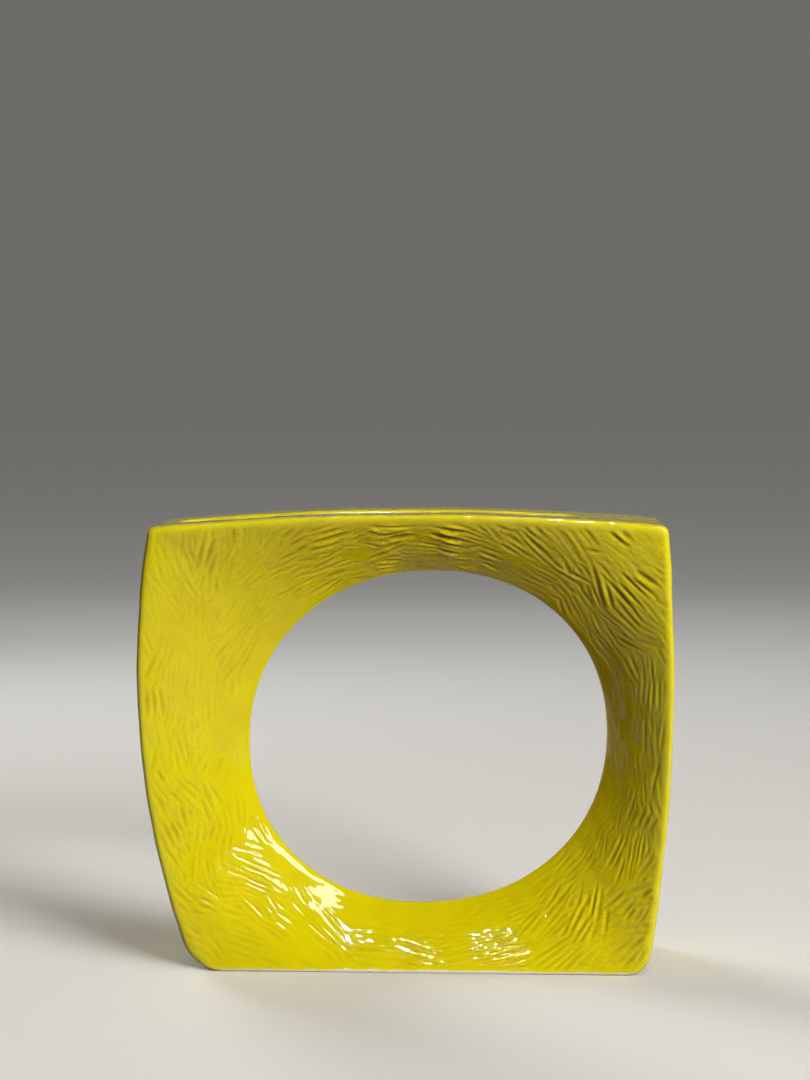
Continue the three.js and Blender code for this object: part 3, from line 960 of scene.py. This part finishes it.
class VASE_OT_stage(bpy.types.Operator):
    """Make the floor, the lamps, the soft light all round and the camera"""

    bl_idname = "vase.stage"
    bl_label = "Stage"
    bl_options = {"REGISTER", "UNDO"}

    def execute(self, context):
        stage = context.scene.vase_stage
        floor = sweep(stage)
        # Name, direction, distance, size, power, and the rays that do not see the lamp
        lamps = (
            ("key", (0.60, -0.72, 0.35), 2.6, (1.0, 1.0), stage.key_power, "visible_glossy"),
            ("window", (0.38, -0.30, 0.87), 2.4, (0.5, 2.0), stage.window_power, "visible_glossy"),
            ("gleam", (0.63, -0.26, 0.73), 2.4, (0.42, 2.6), stage.gleam_power, "visible_diffuse"),
            ("glint_right", (0.07, -0.25, 0.965), 2.4, (0.06, 0.06), stage.glint_power, "visible_diffuse"),
            ("glint_left", (-0.13, -0.28, 0.95), 2.4, (0.06, 0.06), stage.glint_power, "visible_diffuse"),
            ("fill", (-0.58, 0.74, 0.34), 2.6, (1.2, 1.2), stage.fill_power, "visible_glossy"),
        )
        for *lamp, hidden in lamps:
            setattr(soft_lamp(*lamp), hidden, False)
        surroundings(stage)
        camera = bpy.data.objects.new("camera", bpy.data.cameras.new("camera"))
        context.scene.collection.objects.link(camera)
        across = stage.camera_distance * math.sin(stage.camera_yaw) + stage.camera_aside
        back = stage.camera_distance * math.cos(stage.camera_yaw)
        camera.location = (across, -back, stage.camera_height)
        camera.rotation_euler = (math.pi / 2 - stage.camera_pitch, 0.0, stage.camera_yaw)
        camera.data.sensor_fit = "VERTICAL"
        camera.data.sensor_height = 36.0
        camera.data.lens = stage.lens
        context.scene.camera = camera
        context.scene.view_settings.view_transform = "Standard"
        return {"FINISHED"}


def sweep(stage):
    """Paper sweep: level within 2 m of the vase, then rising with the square of the distance beyond."""
    level, reach, rise, steps = 2.0, 5.0, 0.45, 121
    across = np.linspace(-reach, reach, steps)
    x, y = np.meshgrid(across, across, indexing="ij")
    beyond = np.maximum(np.hypot(x, y) - level, 0.0)
    points = np.stack([x, y, rise * beyond**2], axis=2).reshape(-1, 3)
    index = np.arange(steps * steps).reshape(steps, steps)
    quads = np.stack([index[:-1, :-1], index[1:, :-1], index[1:, 1:], index[:-1, 1:]], axis=2).reshape(-1, 4)
    mesh = bpy.data.meshes.new("paper_sweep")
    mesh.from_pydata(points.tolist(), [], quads.tolist())
    mesh.polygons.foreach_set("use_smooth", np.ones(len(quads), dtype=bool))
    mesh.materials.append(matt_paper(stage))
    floor = bpy.data.objects.new("paper_sweep", mesh)
    bpy.context.scene.collection.objects.link(floor)
    return floor


def matt_paper(stage):
    """Uncoated studio paper.

    Under the vase it gives the eye plain lit paper that takes the shadow. On the way out it goes over to an
    even shade, pale and then grey, that looks the same from every side.
    """
    fade_start, even_from, grey_from = 0.4, 1.5, 2.8
    material, tree = new_material("matt_paper")
    rays = add_node(tree, "LightPath", {}, None)
    place = add_node(tree, "TexCoord", {}, "Object")
    away = add_node(tree, "VectorMath", {0: place}, "Value", operation="LENGTH")
    grey, far = (
        add_node(
            tree,
            "MapRange",
            {"Value": away, "From Min": fade_start, "From Max": end},
            interpolation_type="SMOOTHSTEP",
        )
        for end in (grey_from, even_from)
    )
    paper, shade = (
        add_node(tree, "Mix", {0: share, 6: (*first, 1), 7: (*last, 1)}, 2, data_type="RGBA")
        for share, first, last in (
            (rays["Is Diffuse Ray"], stage.floor, stage.bounce),
            (grey, stage.horizon, stage.backdrop),
        )
    )
    lit = add_node(tree, "BsdfDiffuse", {"Color": paper})
    even = add_node(tree, "Emission", {"Color": shade})
    seen = rays["Is Camera Ray"]
    for ray in ("Is Glossy Ray", "Is Transmission Ray"):
        seen = add_node(tree, "Math", {0: seen, 1: rays[ray]}, operation="ADD", use_clamp=True)
    share = add_node(tree, "Math", {0: seen, 1: far}, operation="MULTIPLY")
    shader = add_node(tree, "MixShader", {0: share, 1: lit, 2: even})
    add_node(tree, "OutputMaterial", {"Surface": shader}, None)
    return material


def soft_lamp(name, direction, distance, size, power):
    """Object of a rectangular soft lamp that shines on the middle of the vase from a direction."""
    middle_height = 0.11
    lamp = bpy.data.lights.new(name, "AREA")
    lamp.shape = "RECTANGLE"
    lamp.size, lamp.size_y = size
    lamp.energy = power
    holder = bpy.data.objects.new(name, lamp)
    holder.location = Vector(direction) * distance + Vector((0.0, 0.0, middle_height))
    holder.rotation_euler = (-Vector(direction)).to_track_quat("-Z", "Y").to_euler()
    bpy.context.scene.collection.objects.link(holder)
    return holder


def surroundings(stage):
    """Soft even light all round."""
    world = bpy.data.worlds.new("studio")
    world.use_nodes = True
    tree = world.node_tree
    tree.nodes.clear()
    light = add_node(tree, "Background", {"Color": (*stage.ambient_tint, 1), "Strength": stage.ambient})
    add_node(tree, "OutputWorld", {"Surface": light}, None)
    bpy.context.scene.world = world


class VASE_PT_panel(bpy.types.Panel):
    """The vase's sizes, surface, stage and makers"""

    bl_idname = "VASE_PT_panel"
    bl_label = "Ikebana vase"
    bl_space_type = "VIEW_3D"
    bl_region_type = "UI"
    bl_category = "Vase"

    def draw(self, context):
        for setting, group in SETTINGS.items():
            box = self.layout.box()
            for name in group.__annotations__:
                box.prop(getattr(context.scene, setting), name)
        for operator in OPERATORS:
            self.layout.operator(operator.bl_idname)


SETTINGS = {"vase_sizes": VaseSizes, "vase_surface": VaseSurface, "vase_stage": VaseStage}
OPERATORS = (VASE_OT_faces, VASE_OT_sides, VASE_OT_rim, VASE_OT_base, VASE_OT_stage)
CLASSES = (*SETTINGS.values(), *OPERATORS, VASE_PT_panel)


def register():
    """Registers the classes and hangs the settings on the scene."""
    for cls in CLASSES:
        bpy.utils.register_class(cls)
    for setting, group in SETTINGS.items():
        setattr(bpy.types.Scene, setting, PointerProperty(type=group))


def unregister():
    """Takes the settings and the classes away again."""
    for setting in SETTINGS:
        delattr(bpy.types.Scene, setting)
    for cls in reversed(CLASSES):
        bpy.utils.unregister_class(cls)


def main():
    """Makes the pieces and the stage."""
    register()
    bpy.ops.vase.faces()
    bpy.ops.vase.sides()
    bpy.ops.vase.rim()
    bpy.ops.vase.base()
    bpy.ops.vase.stage()


if __name__ == "__main__":
    main()
